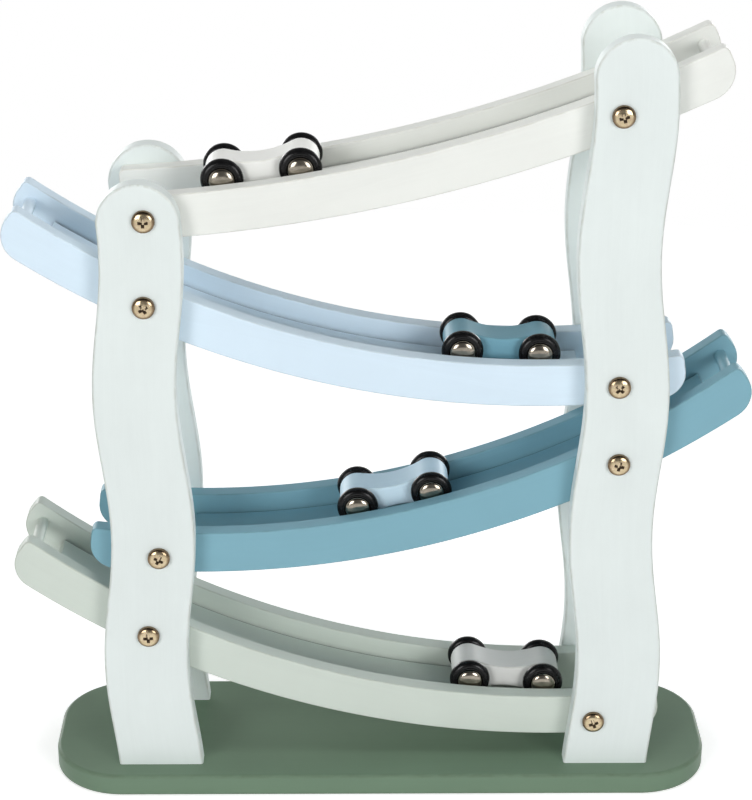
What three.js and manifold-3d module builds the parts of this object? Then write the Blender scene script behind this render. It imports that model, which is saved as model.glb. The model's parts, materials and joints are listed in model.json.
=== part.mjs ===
// Wooden car track: four curved ramps in zigzag between wavy posts on a base plate, with four roll-over cars.
// Millimetres, +Z up, +X to the right, +Y away from the viewer. Origin: middle of the base plate's underside.
import * as THREE from "three";
import { mergeVertices } from "three/addons/utils/BufferGeometryUtils.js";
import Module from "manifold-3d";

const wasm = await Module();
wasm.setup();

// Fits
const TURNING_CLEARANCE = 0.3; // round a pin, shaft or screw in its hole
const ROLLING_CLEARANCE = 0.3; // under a wheel
const SIDE_CLEARANCE = 0.3; // beside a wheel on its axle

// Cars
const WHEELBASE = 31.5;
const WHEEL_DIAMETER = 17.2;
const WHEEL_WIDTH = 5.2;
const TYRE_THICKNESS = 2.2; // from tread to hub
const AXLE_DIAMETER = 3;
const CAP_DIAMETER = 10.6;
const CAP_HEIGHT = 1;
const BODY_WIDTH = 15.4;
const BODY_END_INSET = 1.2; // body inside the wheel's outline, so it clears the floor either way up
const BODY_WAIST_DIP = 2.9; // waist below the body's ends, above and below
const BODY_EDGE = 1.2; // bevel round the body's sides
const CAR_SIDE_PLAY = 0.6; // between a cap and a rail

// Ramps
const RAIL_THICKNESS = 7.5;
const RAIL_HEIGHT = 17.8;
const RAIL_TOP_CORNER = 2.5;
const RAIL_UPPER_END_CORNER = 12; // lower corner of the rail's upper end
const RAIL_LOWER_END_CORNER = 11; // lower corner of the rail's lower end
const FLOOR_DEPTH = 8.3; // floor below the rails' top edge
const FLOOR_THICKNESS = 4;
const START_GAP = 19.5; // from the rails' upper end to the floor
const DROP_LENGTH = 42; // from the floor's end to the rails' lower end, where a car tips over
const DOWEL_DIAMETER = 5;
const DOWEL_INSET = 7.2; // from the rails' upper end
const DOWEL_DEPTH = 7.2; // below the rails' top edge
const DOWEL_COVER = 3.5; // wood left outside the dowel's blind hole

// Radius of each ramp's arc along the rails' top edge, and the arc's centre in X
const TOP_RAMP_RADIUS = 597;
const TOP_RAMP_ARC_X = -134;
const LOWER_RAMPS_RADIUS = 360;
const SECOND_RAMP_ARC_X = 63;
const THIRD_RAMP_ARC_X = -75.5;
const BOTTOM_RAMP_ARC_X = 72.8;

// Gap from each ramp's lower end to what lies below
const TOP_RAMP_GAP = 10.5;
const SECOND_RAMP_GAP = 1.7;
const THIRD_RAMP_GAP = 5.3;
const BOTTOM_RAMP_GAP = 9.6;

// Screws to the right of the posts' middle lines
const TOP_LEFT_SCREW = 2.5;
const TOP_RIGHT_SCREW = -5.4;
const SECOND_LEFT_SCREW = 1.7;
const SECOND_RIGHT_SCREW = -3.5;
const THIRD_LEFT_SCREW = 2.5;
const THIRD_RIGHT_SCREW = -0.6;
const BOTTOM_LEFT_SCREW = 0.8;
const BOTTOM_RIGHT_SCREW = -8;

// Ramps from top to bottom. side: where the upper end is, +1 right. Angles in degrees are taken at the arc's
// centre from straight down, positive towards the upper end.
const RAMPS = [
  {
    name: "ramp_1",
    side: 1,
    radius: TOP_RAMP_RADIUS,
    arcX: TOP_RAMP_ARC_X,
    upperAngle: 26.4,
    lowerAngle: 2.55,
    gapBelow: TOP_RAMP_GAP,
    screwLeft: TOP_LEFT_SCREW,
    screwRight: TOP_RIGHT_SCREW,
    carAngle: 8.25,
    colour: "#eeeee8",
    carColour: "#e9e9e6",
  },
  {
    name: "ramp_2",
    side: -1,
    radius: LOWER_RAMPS_RADIUS,
    arcX: SECOND_RAMP_ARC_X,
    upperAngle: 35.4,
    lowerAngle: -9.3,
    gapBelow: SECOND_RAMP_GAP,
    screwLeft: SECOND_LEFT_SCREW,
    screwRight: SECOND_RIGHT_SCREW,
    carAngle: 2.35,
    colour: "#bcd7ea",
    carColour: "#7f9ea6",
  },
  {
    name: "ramp_3",
    side: 1,
    radius: LOWER_RAMPS_RADIUS,
    arcX: THIRD_RAMP_ARC_X,
    upperAngle: 37.5,
    lowerAngle: -7.1,
    gapBelow: THIRD_RAMP_GAP,
    screwLeft: THIRD_LEFT_SCREW,
    screwRight: THIRD_RIGHT_SCREW,
    carAngle: 13,
    colour: "#7fa5b4",
    carColour: "#b9d2ea",
  },
  {
    name: "ramp_4",
    side: -1,
    radius: LOWER_RAMPS_RADIUS,
    arcX: BOTTOM_RAMP_ARC_X,
    upperAngle: 37.6,
    lowerAngle: -7.1,
    gapBelow: BOTTOM_RAMP_GAP,
    screwLeft: BOTTOM_LEFT_SCREW,
    screwRight: BOTTOM_RIGHT_SCREW,
    carAngle: 3,
    colour: "#b9c6b8",
    carColour: "#cfcfcd",
  },
];

// Posts: bands that narrow a little upwards, with a waving middle line
const POST_THICKNESS = 8.4;
const POST_FOOT_WIDTH = 35.6;
const POST_TAPER = 0.011; // width lost per height
const POST_MIDDLE_X = 96.6;
const POST_WAVE_SWING = 2.5;
const POST_WAVE_LENGTH = 121;
const POST_WAVE_CREST = 47.4; // first outward crest above the base plate
const POST_LEAN = 0.0102; // shift to the left per height, as the posts are screwed on a little out of plumb
const POST_LEAN_FROM = 94; // height above the base plate where the posts stand in place
const LEFT_POST_ABOVE_SCREW = 14.8; // post's top above its highest screw
const RIGHT_POST_ABOVE_SCREW = 30.7;
const POST_COLOUR = "#e6edeb";

// Base plate
const BASE_THICKNESS = 9.6;
const BASE_END_MARGIN = 23.1; // beyond the posts' crests
const BASE_SIDE_MARGIN = 9.5; // beyond the posts' faces
const BASE_CORNER = 30;
const BASE_COLOUR = "#7b897f";

// Screws
const SCREW_HEAD_DIAMETER = 9.2;
const SCREW_HEAD_HEIGHT = 2.8;
const SCREW_DIAMETER = 4;
const SCREW_DEPTH = 7.2; // below the rails' top edge
const SCREW_COVER = 1.5; // wood left ahead of the screw's tip

// Facets
const ARC_STEPS = 22;
const WAVE_STEPS = 34;
const POST_CAP_STEPS = 12;
const RAIL_CORNER_STEPS = 4;
const BASE_CORNER_STEPS = 10;
const BODY_CURVE_STEPS = 7;
const TYRE_STEPS = 5;
const DOME_STEPS = 3;
const WHEEL_SIDES = 14;
const ROUND_SIDES = 12;
const MERGE_DISTANCE = 1e-4;

// Sizes that follow
const wheelRadius = WHEEL_DIAMETER / 2;
const wheelY = BODY_WIDTH / 2 + SIDE_CLEARANCE + WHEEL_WIDTH / 2;
const capInnerY = wheelY + WHEEL_WIDTH / 2 + SIDE_CLEARANCE;
const channelHalf = capInnerY + CAP_HEIGHT + CAR_SIDE_PLAY;
const railOuterY = channelHalf + RAIL_THICKNESS;
const postOuterY = railOuterY + POST_THICKNESS;
const baseLength = 2 * (POST_MIDDLE_X + POST_WAVE_SWING + POST_FOOT_WIDTH / 2 + BASE_END_MARGIN);
const baseWidth = 2 * (postOuterY + BASE_SIDE_MARGIN);
const floorDepthBelow = FLOOR_DEPTH + FLOOR_THICKNESS;

const track = new THREE.Group();

const woodFinish = { roughness: 0.45, metalness: 0 };
const rubberFinish = { roughness: 0.35, metalness: 0 };
const steelFinish = { roughness: 0.25, metalness: 1 };
const brassFinish = { roughness: 0.35, metalness: 1 };

function addPiece(group, name, geometry, colour, finish) {
  const material = new THREE.MeshStandardMaterial({ color: colour, ...finish });
  const mesh = new THREE.Mesh(geometry, material);
  mesh.name = name;
  group.add(mesh);
  return mesh;
}

// Booleans
function toSolid(geometry) {
  const bare = geometry.clone();
  bare.deleteAttribute("normal");
  bare.deleteAttribute("uv");
  const merged = mergeVertices(bare, MERGE_DISTANCE);
  const vertProperties = new Float32Array(merged.attributes.position.array);
  const triVerts = new Uint32Array(merged.index.array);
  return new wasm.Manifold(new wasm.Mesh({ numProp: 3, vertProperties, triVerts }));
}

function toGeometry(solid) {
  const mesh = solid.getMesh();
  const geometry = new THREE.BufferGeometry();
  geometry.setAttribute("position", new THREE.BufferAttribute(mesh.vertProperties, 3));
  geometry.setIndex(new THREE.BufferAttribute(mesh.triVerts, 1));
  geometry.computeVertexNormals();
  return geometry;
}

function drilled(geometry, holes) {
  const solid = holes.reduce((left, hole) => left.subtract(toSolid(hole)), toSolid(geometry));
  return toGeometry(solid);
}

// A plate of the given outline in X and Z, from one Y to another
function plate(outline, fromY, toY, holesInOutline = []) {
  const shape = new THREE.Shape(outline);
  shape.holes.push(...holesInOutline);
  const geometry = new THREE.ExtrudeGeometry(shape, { depth: toY - fromY, bevelEnabled: false });
  geometry.rotateX(Math.PI / 2);
  geometry.translate(0, toY, 0);
  return geometry;
}

// A round bar along Y
function bar(diameter, fromY, toY, x, z) {
  const geometry = new THREE.CylinderGeometry(diameter / 2, diameter / 2, toY - fromY, ROUND_SIDES);
  geometry.translate(x, (fromY + toY) / 2, z);
  return geometry;
}

// A turned piece about Y, its profile given as pairs of radius and Y
function turned(profile, sides) {
  const points = profile.map(([radius, y]) => new THREE.Vector2(radius, y));
  return new THREE.LatheGeometry(points, sides);
}

// Profile of a dome from its middle to its rim, which lies at rimY, bulging towards the given end of Y
function dome(radius, height, rimY, end) {
  const profile = [];
  for (let i = 0; i <= DOME_STEPS; i++) {
    const turn = ((Math.PI / 2) * i) / DOME_STEPS;
    const across = i === 0 ? 0 : radius * Math.sin(turn);
    const bulge = i === DOME_STEPS ? 0 : height * Math.cos(turn);
    profile.push([across, rimY + end * bulge]);
  }
  return profile;
}

// Ramp arcs
const radians = THREE.MathUtils.degToRad;

// Point of a ramp at a depth below the rails' top edge and an angle towards the upper end
function rampPoint(ramp, depth, angle) {
  const reach = ramp.radius + depth;
  const x = ramp.arcX + ramp.side * reach * Math.sin(angle);
  return new THREE.Vector2(x, ramp.arcZ - reach * Math.cos(angle));
}

// Height of a ramp's arc at X
function arcHeight(ramp, depth, x) {
  return ramp.arcZ - Math.sqrt((ramp.radius + depth) ** 2 - (x - ramp.arcX) ** 2);
}

// Sets each ramp's height from the gap below its lower end, from the lowest ramp up
function stackRamps() {
  let below = null;
  for (const ramp of [...RAMPS].reverse()) {
    ramp.upper = radians(ramp.upperAngle);
    ramp.lower = radians(ramp.lowerAngle);
    ramp.arcZ = 0;
    if (below) {
      const tip = rampPoint(ramp, RAIL_HEIGHT, ramp.lower);
      ramp.arcZ = arcHeight(below, 0, tip.x) + ramp.gapBelow - tip.y;
    } else {
      ramp.arcZ = BASE_THICKNESS + ramp.gapBelow + RAIL_HEIGHT + ramp.radius;
    }
    below = ramp;
  }
}

// Outline of a bar bent along a ramp, from angle to angle and depth to depth, with a radius at each corner:
// top of the lower end, top of the upper end, bottom of the upper end, bottom of the lower end
function bentOutline(ramp, fromAngle, toAngle, fromDepth, toDepth, corners) {
  const points = [];
  const [topLow, topHigh, bottomHigh, bottomLow] = corners;
  const along = (length) => length / (ramp.radius + (fromDepth + toDepth) / 2);
  const add = (angle, depth) => points.push(rampPoint(ramp, depth, angle));
  const edge = (start, end, depth) => {
    for (let i = 0; i <= ARC_STEPS; i++) add(start + ((end - start) * i) / ARC_STEPS, depth);
  };
  const corner = (angle, depth, radius, turn) => {
    for (let i = 1; i < RAIL_CORNER_STEPS; i++) {
      const swing = turn + ((Math.PI / 2) * i) / RAIL_CORNER_STEPS;
      add(angle + along(radius * Math.sin(swing)), depth - radius * Math.cos(swing));
    }
  };
  edge(fromAngle + along(topLow), toAngle - along(topHigh), fromDepth);
  corner(toAngle - along(topHigh), fromDepth + topHigh, topHigh, 0);
  if (topHigh) add(toAngle, fromDepth + topHigh);
  if (bottomHigh) add(toAngle, toDepth - bottomHigh);
  corner(toAngle - along(bottomHigh), toDepth - bottomHigh, bottomHigh, Math.PI / 2);
  edge(toAngle - along(bottomHigh), fromAngle + along(bottomLow), toDepth);
  corner(fromAngle + along(bottomLow), toDepth - bottomLow, bottomLow, Math.PI);
  if (bottomLow) add(fromAngle, toDepth - bottomLow);
  if (topLow) add(fromAngle, fromDepth + topLow);
  corner(fromAngle + along(topLow), fromDepth + topLow, topLow, 1.5 * Math.PI);
  return points;
}

// Posts
function postMiddle(side, z) {
  const height = z - BASE_THICKNESS;
  const turn = (2 * Math.PI * (height - POST_WAVE_CREST)) / POST_WAVE_LENGTH;
  const lean = POST_LEAN * (height - POST_LEAN_FROM);
  return side * (POST_MIDDLE_X + POST_WAVE_SWING * Math.cos(turn)) - lean;
}

function postHalfWidth(z) {
  return (POST_FOOT_WIDTH - POST_TAPER * (z - BASE_THICKNESS)) / 2;
}

// Place of the screw that holds a ramp to the post on the given side
function screwPlace(ramp, side) {
  const offset = side < 0 ? ramp.screwLeft : ramp.screwRight;
  let x = side * POST_MIDDLE_X + offset;
  let z = arcHeight(ramp, SCREW_DEPTH, x);
  const settlings = 4; // rounds until post and rail agree on the place
  for (let i = 0; i < settlings; i++) {
    x = postMiddle(side, z) + offset;
    z = arcHeight(ramp, SCREW_DEPTH, x);
  }
  return { x, z };
}

function postOutline(side) {
  const aboveScrew = side < 0 ? LEFT_POST_ABOVE_SCREW : RIGHT_POST_ABOVE_SCREW;
  const highest = Math.max(...RAMPS.map((ramp) => screwPlace(ramp, side).z));
  const capRadius = postHalfWidth(highest);
  const capZ = highest + aboveScrew - capRadius;
  const points = [];
  for (let i = 0; i <= WAVE_STEPS; i++) {
    const z = BASE_THICKNESS + ((capZ - BASE_THICKNESS) * i) / WAVE_STEPS;
    points.push(new THREE.Vector2(postMiddle(side, z) + postHalfWidth(z), z));
  }
  for (let i = 1; i < POST_CAP_STEPS; i++) {
    const turn = (Math.PI * i) / POST_CAP_STEPS;
    const x = postMiddle(side, capZ) + capRadius * Math.cos(turn);
    points.push(new THREE.Vector2(x, capZ + capRadius * Math.sin(turn)));
  }
  for (let i = WAVE_STEPS; i >= 0; i--) {
    const z = BASE_THICKNESS + ((capZ - BASE_THICKNESS) * i) / WAVE_STEPS;
    points.push(new THREE.Vector2(postMiddle(side, z) - postHalfWidth(z), z));
  }
  return points;
}

function addPosts() {
  const holeDiameter = SCREW_DIAMETER + 2 * TURNING_CLEARANCE;
  for (const [end, side] of [["left", -1], ["right", 1]]) {
    const holes = RAMPS.map((ramp) => {
      const { x, z } = screwPlace(ramp, side);
      const hole = new THREE.Path();
      hole.absarc(x, z, holeDiameter / 2, 0, 2 * Math.PI, true);
      return new THREE.Path(hole.getSpacedPoints(ROUND_SIDES).slice(0, ROUND_SIDES));
    });
    const outline = postOutline(side);
    const front = plate(outline, -postOuterY, -railOuterY, holes);
    const back = plate(outline, railOuterY, postOuterY, holes);
    addPiece(track, `post_front_${end}`, front, POST_COLOUR, woodFinish);
    addPiece(track, `post_back_${end}`, back, POST_COLOUR, woodFinish);
  }
}

// Ramps
function dowelPlace(ramp) {
  const angle = ramp.upper - DOWEL_INSET / (ramp.radius + DOWEL_DEPTH);
  return rampPoint(ramp, DOWEL_DEPTH, angle);
}

function addRails(ramp) {
  const corners = [RAIL_TOP_CORNER, RAIL_TOP_CORNER, RAIL_UPPER_END_CORNER, RAIL_LOWER_END_CORNER];
  const outline = bentOutline(ramp, ramp.lower, ramp.upper, 0, RAIL_HEIGHT, corners);
  const dowel = dowelPlace(ramp);
  const dowelHole = DOWEL_DIAMETER + 2 * TURNING_CLEARANCE;
  const screwHole = SCREW_DIAMETER + 2 * TURNING_CLEARANCE;
  const dowelBottom = railOuterY - DOWEL_COVER + TURNING_CLEARANCE;
  const screwBottom = channelHalf + SCREW_COVER - TURNING_CLEARANCE;
  for (const [face, out] of [["front", -1], ["back", 1]]) {
    const ends = (a, b) => [Math.min(out * a, out * b), Math.max(out * a, out * b)];
    const drillPast = 1; // drill runs on past the face that it enters
    const holes = [bar(dowelHole, ...ends(channelHalf - drillPast, dowelBottom), dowel.x, dowel.y)];
    for (const side of [-1, 1]) {
      const { x, z } = screwPlace(ramp, side);
      holes.push(bar(screwHole, ...ends(screwBottom, railOuterY + drillPast), x, z));
    }
    const rail = drilled(plate(outline, ...ends(channelHalf, railOuterY)), holes);
    addPiece(track, `${ramp.name}_${face}_rail`, rail, ramp.colour, woodFinish);
  }
}

function addFloor(ramp) {
  const start = ramp.upper - START_GAP / (ramp.radius + FLOOR_DEPTH);
  const end = ramp.lower + DROP_LENGTH / (ramp.radius + FLOOR_DEPTH);
  const outline = bentOutline(ramp, end, start, FLOOR_DEPTH, floorDepthBelow, [0, 0, 0, 0]);
  addPiece(track, `${ramp.name}_floor`, plate(outline, -channelHalf, channelHalf), ramp.colour, woodFinish);
}

function addDowel(ramp) {
  const { x, y: z } = dowelPlace(ramp);
  const reach = railOuterY - DOWEL_COVER;
  addPiece(track, `${ramp.name}_dowel`, bar(DOWEL_DIAMETER, -reach, reach, x, z), ramp.colour, woodFinish);
}

// Pan-head screw, its tip towards +Y, seated on the front post
function screw() {
  const tipY = -channelHalf - SCREW_COVER;
  const profile = [
    ...dome(SCREW_HEAD_DIAMETER / 2, SCREW_HEAD_HEIGHT, -postOuterY, -1),
    [SCREW_DIAMETER / 2, -postOuterY],
    [SCREW_DIAMETER / 2, tipY - SCREW_DIAMETER / 2],
    [0, tipY],
  ];
  return turned(profile, ROUND_SIDES);
}

function addScrews(ramp) {
  for (const [end, side] of [["left", -1], ["right", 1]]) {
    const { x, z } = screwPlace(ramp, side);
    const piece = addPiece(track, `${ramp.name}_screw_${end}`, screw(), "#c9a86a", brassFinish);
    piece.position.set(x, 0, z);
  }
}

// Cars
const bodyEnd = wheelRadius - BODY_END_INSET;
const bodyWaist = bodyEnd - BODY_WAIST_DIP;
const halfBase = WHEELBASE / 2;
// Radius of the hollow that meets both round ends smoothly
const hollowRadius = (halfBase ** 2 + bodyWaist ** 2 - bodyEnd ** 2) / (2 * BODY_WAIST_DIP);

// Side outline of a car's body: round ends joined by a hollow above and below, drawn in by an inset
function bodyOutline(inset) {
  const end = bodyEnd - inset;
  const hollow = hollowRadius + inset;
  const hollowZ = bodyWaist + hollowRadius;
  const meet = Math.atan2(hollowZ, halfBase);
  const shape = new THREE.Shape();
  shape.absarc(halfBase, 0, end, meet - Math.PI, Math.PI - meet, false);
  shape.absarc(0, hollowZ, hollow, -meet, meet - Math.PI, true);
  shape.absarc(-halfBase, 0, end, meet, 2 * Math.PI - meet, false);
  shape.absarc(0, -hollowZ, hollow, Math.PI - meet, meet, true);
  return shape;
}

function carBody() {
  const shape = bodyOutline(BODY_EDGE);
  const geometry = new THREE.ExtrudeGeometry(shape, {
    depth: BODY_WIDTH - 2 * BODY_EDGE,
    bevelEnabled: true,
    bevelThickness: BODY_EDGE,
    bevelSize: BODY_EDGE,
    bevelSegments: 1,
    curveSegments: BODY_CURVE_STEPS,
  });
  geometry.rotateX(Math.PI / 2);
  geometry.translate(0, BODY_WIDTH / 2 - BODY_EDGE, 0);
  const bore = AXLE_DIAMETER + 2 * TURNING_CLEARANCE;
  const holes = [-halfBase, halfBase].map((x) => bar(bore, -BODY_WIDTH, BODY_WIDTH, x, 0));
  return drilled(geometry, holes);
}

// Wheel with a round tyre on its hub
function wheel() {
  const bore = AXLE_DIAMETER / 2 + TURNING_CLEARANCE;
  const hub = wheelRadius - TYRE_THICKNESS;
  const half = WHEEL_WIDTH / 2;
  const profile = [[bore, -half], [hub, -half]];
  for (let i = 1; i < TYRE_STEPS; i++) {
    const turn = Math.PI * (i / TYRE_STEPS - 0.5);
    profile.push([hub + TYRE_THICKNESS * Math.cos(turn), half * Math.sin(turn)]);
  }
  profile.push([hub, half], [bore, half], [bore, -half]);
  return turned(profile, WHEEL_SIDES);
}

// Axle with a domed cap on each end
function axle() {
  const profile = [
    ...dome(CAP_DIAMETER / 2, CAP_HEIGHT, -capInnerY, -1),
    [AXLE_DIAMETER / 2, -capInnerY],
    [AXLE_DIAMETER / 2, capInnerY],
    ...dome(CAP_DIAMETER / 2, CAP_HEIGHT, capInnerY, 1).reverse(),
  ];
  return turned(profile, ROUND_SIDES);
}

// Car standing on a ramp's floor, both axles the same distance from the arc's centre
function addCar(ramp, number) {
  const axleReach = FLOOR_DEPTH - wheelRadius - ROLLING_CLEARANCE;
  const halfAngle = Math.asin(halfBase / (ramp.radius + axleReach));
  const middleReach = (ramp.radius + axleReach) * Math.cos(halfAngle) - ramp.radius;
  const place = rampPoint(ramp, middleReach, radians(ramp.carAngle));
  const car = new THREE.Group();
  car.position.set(place.x, 0, place.y);
  car.rotation.y = -ramp.side * radians(ramp.carAngle);
  track.add(car);
  addPiece(car, `car_${number}_body`, carBody(), ramp.carColour, woodFinish);
  for (const [axleName, x] of [["lower", -ramp.side * halfBase], ["upper", ramp.side * halfBase]]) {
    const pin = addPiece(car, `car_${number}_${axleName}_axle`, axle(), "#d8d8d6", steelFinish);
    pin.position.x = x;
    for (const [face, y] of [["front", -wheelY], ["back", wheelY]]) {
      const name = `car_${number}_${axleName}_wheel_${face}`;
      const disc = addPiece(car, name, wheel(), "#141414", rubberFinish);
      disc.position.set(x, y, 0);
    }
  }
}

// Base plate with round corners, its edges in X and Y
function addBase() {
  const x = baseLength / 2 - BASE_CORNER;
  const y = baseWidth / 2 - BASE_CORNER;
  const shape = new THREE.Shape();
  shape.absarc(x, y, BASE_CORNER, 0, Math.PI / 2, false);
  shape.absarc(-x, y, BASE_CORNER, Math.PI / 2, Math.PI, false);
  shape.absarc(-x, -y, BASE_CORNER, Math.PI, 1.5 * Math.PI, false);
  shape.absarc(x, -y, BASE_CORNER, 1.5 * Math.PI, 2 * Math.PI, false);
  const options = { depth: BASE_THICKNESS, bevelEnabled: false, curveSegments: BASE_CORNER_STEPS };
  addPiece(track, "base_plate", new THREE.ExtrudeGeometry(shape, options), BASE_COLOUR, woodFinish);
}

stackRamps();
addBase();
addPosts();
RAMPS.forEach((ramp, index) => {
  addRails(ramp);
  addFloor(ramp);
  addDowel(ramp);
  addScrews(ramp);
  addCar(ramp, index + 1);
});

export default track;
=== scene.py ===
"""Wooden car track: painted ramps in zigzag between wavy posts, with four small cars.

Sizes are in millimetres and become metres when a mesh is made. The arcs' centres, the wheels and the
screws are taken from the frame.
"""

import json
import math

import bpy
from mathutils import Matrix, Vector


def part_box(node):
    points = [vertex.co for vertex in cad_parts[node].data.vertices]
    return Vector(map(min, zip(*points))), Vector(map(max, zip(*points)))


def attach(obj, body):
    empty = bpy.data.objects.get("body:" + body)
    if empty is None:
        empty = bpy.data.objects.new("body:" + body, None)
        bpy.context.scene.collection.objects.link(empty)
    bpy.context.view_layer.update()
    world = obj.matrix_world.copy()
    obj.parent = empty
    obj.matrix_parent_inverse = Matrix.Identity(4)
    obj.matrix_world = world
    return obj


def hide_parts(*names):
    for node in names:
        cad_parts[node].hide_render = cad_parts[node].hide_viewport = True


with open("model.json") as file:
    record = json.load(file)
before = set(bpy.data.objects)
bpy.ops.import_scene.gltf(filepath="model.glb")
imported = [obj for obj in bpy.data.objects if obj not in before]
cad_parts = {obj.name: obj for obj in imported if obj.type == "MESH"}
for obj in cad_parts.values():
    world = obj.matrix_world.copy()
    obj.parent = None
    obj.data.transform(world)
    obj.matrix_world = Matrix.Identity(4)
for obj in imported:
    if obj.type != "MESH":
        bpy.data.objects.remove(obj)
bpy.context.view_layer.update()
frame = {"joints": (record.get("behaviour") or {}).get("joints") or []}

MM = 0.001
QUARTER = math.pi / 2

# Ramps from top to bottom: radius of the rails' top edge, and the ends in degrees at the arc's centre
RAMPS = [
    {"radius": 597, "upper_end": 26.4, "lower_end": 2.55, "paint": "#edefea", "car": "#f8f9f5"},
    {"radius": 360, "upper_end": 35.4, "lower_end": -9.3, "paint": "#dbedfa", "car": "#78aabc"},
    {"radius": 360, "upper_end": 37.5, "lower_end": -7.1, "paint": "#82b0bf", "car": "#d6f0ff"},
    {"radius": 360, "upper_end": 37.6, "lower_end": -7.1, "paint": "#d3dcd3", "car": "#dddedb"},
]
POST_PAINT = "#e6eeec"
BASE_PAINT = "#728a74"

CHANNEL_HALF = 15.1
RAIL_THICKNESS = 7.5
RAIL_HEIGHT = 17.8
RAIL_TOP_CORNER = 2.5
RAIL_UPPER_END_CORNER = 12
RAIL_LOWER_END_CORNER = 11
RAIL_EDGE = 0.6
FLOOR_DEPTH = 8.3
FLOOR_THICKNESS = 4
FLOOR_EDGE = 1.1
START_GAP = 19.5
DROP_LENGTH = 42
DOWEL_DIAMETER = 5
DOWEL_INSET = 7.2
DOWEL_DEPTH = 7.2
DOWEL_SEAT = 1.5  # dowel inside each rail

POST_THICKNESS = 8.4
POST_FOOT_WIDTH = 35.6
POST_TAPER = 0.011
POST_MIDDLE_X = 96.6
POST_WAVE_SWING = 2.5
POST_WAVE_LENGTH = 121
POST_WAVE_CREST = 47.4
POST_LEAN = 0.0102
POST_LEAN_FROM = 94
POST_EDGE = 1.1

BASE_THICKNESS = 9.6
BASE_CORNER = 30
BASE_EDGE = 1.6

SCREW_HEAD_DIAMETER = 9.2
SCREW_HEAD_HEIGHT = 2.8
SCREW_WALL = 0.9  # straight side of the head
SCREW_FLATNESS = 0.75  # power of the dome's cosine, 1 for an ellipse
SCREW_CHAMFER = 0.25
SCREW_TURN = 0.65  # radians from one screw to the next
RECESS_ARM = 2.7
RECESS_HALF_WIDTH = 0.85
RECESS_DEPTH = 1.7
RECESS_TAPER = 0.42  # size left at the recess's bottom
CUTTER_EXCESS = 1  # cutter beyond the head's top
PAINTED_RIM_REFLECTION_START = 3.1  # radius where the head's brown painted reflection at the rim begins
PAINTED_RIM_REFLECTION_FULL = 3.9  # radius from which the painted reflection at the rim is all brown

WHEEL_DIAMETER = 17.2
WHEEL_HALF_WIDTH = 2.6
WHEEL_BORE = 1.8
TYRE_RING = 2.15  # radius of the tyre's round section
HUB_RADIUS = 6.1
HUB_LIP = 0.32  # hub's rim beside the tyre
HUB_LIP_WIDTH = 0.62
HUB_RECESS = 1.3
CAP_RADIUS = 5.3
CAP_DOME = 2.1
CAP_FLATNESS = 0.8  # power of the dome's sine and cosine, 1 for an ellipse
CAP_TOP = 14.5  # from the car's middle plane
CAP_RIM_INSET = 0.3
CAP_RIM_THICKNESS = 0.25
PIN_RADIUS = 1.5
BODY_WIDTH = 15.4
BODY_END_RADIUS = 7.4
BODY_WAIST = 4.5
BODY_EDGE = 0.8

RAIL_OUTER = CHANNEL_HALF + RAIL_THICKNESS
POST_OUTER = RAIL_OUTER + POST_THICKNESS

# Shifts of the grain that keep like pieces from looking the same
RAMP_GRAIN_SHIFT = 100
POST_GRAIN_SHIFT = 300
CAR_GRAIN_SHIFT = 60

# Facets
ARC_STEPS = 90
WAVE_STEPS = 110
POST_CAP_STEPS = 40
CORNER_STEPS = 12
BASE_CORNER_STEPS = 28
BODY_STEPS = 22
EDGE_STEPS = 5
TURNED_SIDES = 96
TYRE_STEPS = 28
DOME_STEPS = 14
EDGE_HOLD = 0.25  # flat strip beside a rounded edge that keeps the faces' shading flat
SMOOTH_ANGLE = math.radians(38)


# Meshes
def outward(points, faces):
    """The faces of a closed mesh, reversed where they enclose a negative volume."""
    volume = 0
    for face in faces:
        first, *others = [Vector(points[index]) for index in face]
        for second, third in zip(others, others[1:]):
            volume += first.dot(second.cross(third))
    return faces if volume > 0 else [face[::-1] for face in faces]


def in_metres(point):
    return tuple(value * MM for value in point)


def make_piece(name, points, faces, attributes, materials, face_materials=None):
    """A new object from points in millimetres, with its attributes, outward faces and smooth shading."""
    mesh = bpy.data.meshes.new(name)
    mesh.from_pydata([in_metres(point) for point in points], [], outward(points, faces))
    mesh.validate()
    for label, values in attributes.items():
        vector = isinstance(values[0], tuple)
        layer = mesh.attributes.new(label, "FLOAT_VECTOR" if vector else "FLOAT", "POINT")
        flat = [part for value in values for part in value] if vector else values
        layer.data.foreach_set("vector" if vector else "value", flat)
    for material in materials:
        mesh.materials.append(material)
    if face_materials:
        mesh.polygons.foreach_set("material_index", face_materials)
    mesh.shade_smooth()
    mesh.set_sharp_from_angle(angle=SMOOTH_ANGLE)
    mesh.update()
    piece = bpy.data.objects.new(name, mesh)
    bpy.context.scene.collection.objects.link(piece)
    return piece


def put(piece, body, slot, *nodes):
    """Sets the piece on its body and hides the solids that it stands for; the slot is not used."""
    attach(piece, body)
    if nodes:
        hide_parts(*nodes)


def signed_area(outline):
    pairs = zip(outline, outline[1:] + outline[:1])
    return sum(a[0] * b[1] - b[0] * a[1] for a, b in pairs) / 2


def inward_steps(outline, flat_at=None):
    """How far each point of an anticlockwise outline moves, both ways, for an inset of one millimetre.

    Points at the height flat_at keep it.
    """
    steps = []
    count = len(outline)
    for i, (u, v) in enumerate(outline):
        before = Vector(outline[i - 1])
        here = Vector((u, v))
        after = Vector(outline[(i + 1) % count])
        first = (here - before).normalized()
        second = (after - here).normalized()
        normal_a = Vector((-first.y, first.x))
        normal_b = Vector((-second.y, second.x))
        step = (normal_a + normal_b) / (1 + normal_a.dot(normal_b))
        if flat_at is not None and abs(v - flat_at) < EDGE_HOLD:
            step = Vector((math.copysign(1, step.x), 0))
        steps.append(step)
    return steps


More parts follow.
